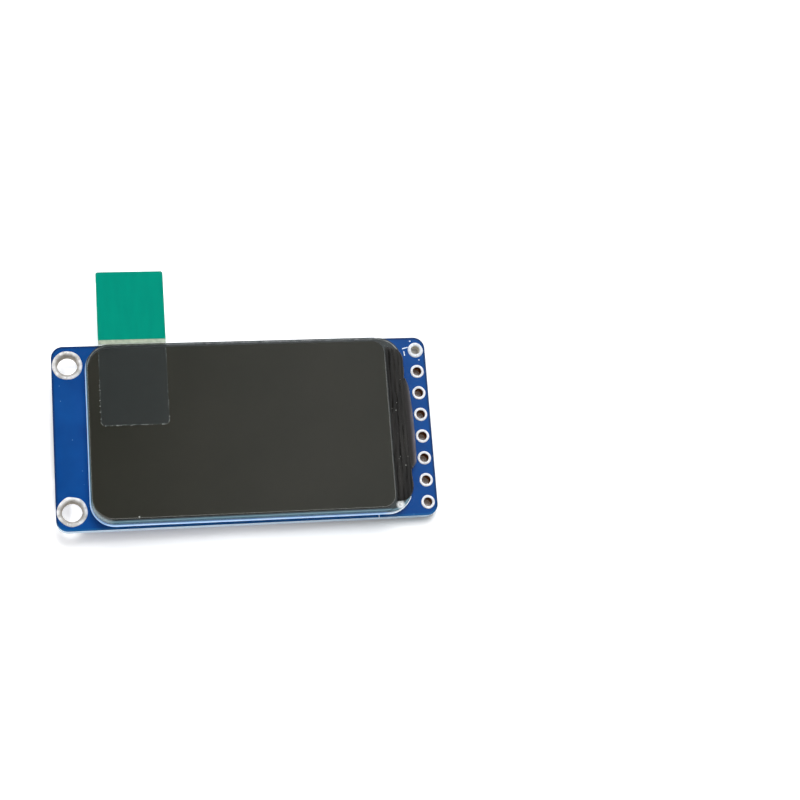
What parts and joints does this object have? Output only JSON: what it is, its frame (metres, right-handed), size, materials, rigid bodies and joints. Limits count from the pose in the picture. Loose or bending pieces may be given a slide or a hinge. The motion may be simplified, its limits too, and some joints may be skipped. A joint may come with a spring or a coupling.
{
  "type": "tft lcd module",
  "caption": "Small colour display module: a rounded glass panel on a blue circuit board with header holes at one end, mounting holes at the other and a flip-lid cable connector behind.",
  "frame": {"origin": "midway between the two mounting holes, on the board's rear face", "axes": "+X from the mounting holes to the header holes, +Y across the board to the side of the pull tab, +Z out of the screen"},
  "size_m": [0.0423, 0.0288, 0.0051],
  "materials": {
    "solder_mask": "glossy blue mask",
    "tinned": "tinned, slightly uneven",
    "white_tape": "matte foam tape",
    "white_plastic": "satin white",
    "clear_acrylic": "polished clear acrylic",
    "diode": "white package with yellow phosphor",
    "amber_flex": "polyimide film",
    "white_film": "matte film",
    "prism_film": "clear ridged film",
    "black_tape": "matte black film",
    "polarizer": "dark grey film, smooth",
    "panel_glass": "polished glass",
    "silicon": "bare silicon",
    "sealant": "glossy dark sealant",
    "clear_film": "clear film",
    "green_film": "green film",
    "ivory_nylon": "moulded, satin",
    "black_nylon": "moulded, satin",
    "gold_contact": "thin plated sheet",
    "tan_ceramic": "fired ceramic",
    "resistor_ceramic": "dark glazed ceramic",
    "mould_compound": "moulded epoxy"
  },
  "bodies": {
    "module": {"pcb": "solder_mask", "mounting_hole_rings": "tinned", "header_hole_rings": "tinned", "solder_pads": "tinned", "panel_mount_tape": "white_tape", "backlight_reflector": "white_film", "backlight_frame": "white_plastic", "light_guide": "clear_acrylic", "backlight_leds": "diode", "backlight_led_strip": "amber_flex", "diffuser_film": "white_film", "lower_prism_film": "prism_film", "upper_prism_film": "prism_film", "light_shield_tape": "black_tape", "rear_polarizer": "polarizer", "tft_glass": "panel_glass", "colour_filter_glass": "panel_glass", "front_polarizer": "polarizer", "driver_chip": "silicon", "ledge_sealant": "sealant", "panel_flex": "amber_flex", "protective_film": "clear_film", "pull_tab_tape": "clear_film", "pull_tab": "green_film", "connector_housing": "ivory_nylon", "connector_contacts": "gold_contact", "connector_hold_downs": "tinned", "capacitor_1_body": "tan_ceramic", "capacitor_1_ends": "tinned", "resistor_1_body": "resistor_ceramic", "resistor_1_ends": "tinned", "capacitor_2_body": "tan_ceramic", "capacitor_2_ends": "tinned", "resistor_2_body": "resistor_ceramic", "resistor_2_ends": "tinned", "capacitor_3_body": "tan_ceramic", "capacitor_3_ends": "tinned", "resistor_3_body": "resistor_ceramic", "resistor_3_ends": "tinned", "capacitor_4_body": "tan_ceramic", "capacitor_4_ends": "tinned", "resistor_4_body": "resistor_ceramic", "resistor_4_ends": "tinned", "regulator_body": "mould_compound", "regulator_leads": "tinned", "transistor_body": "mould_compound", "transistor_leads": "tinned"},
    "lid": {"connector_lid": "black_nylon"}
  },
  "joints": [
    {"name": "lid_flip", "type": "hinge", "parent": "module", "child": "lid", "pos_m": [0.00025, 0, -0.00155], "axis": [0, -1, 0], "range_deg": [0, 90]}
  ]
}
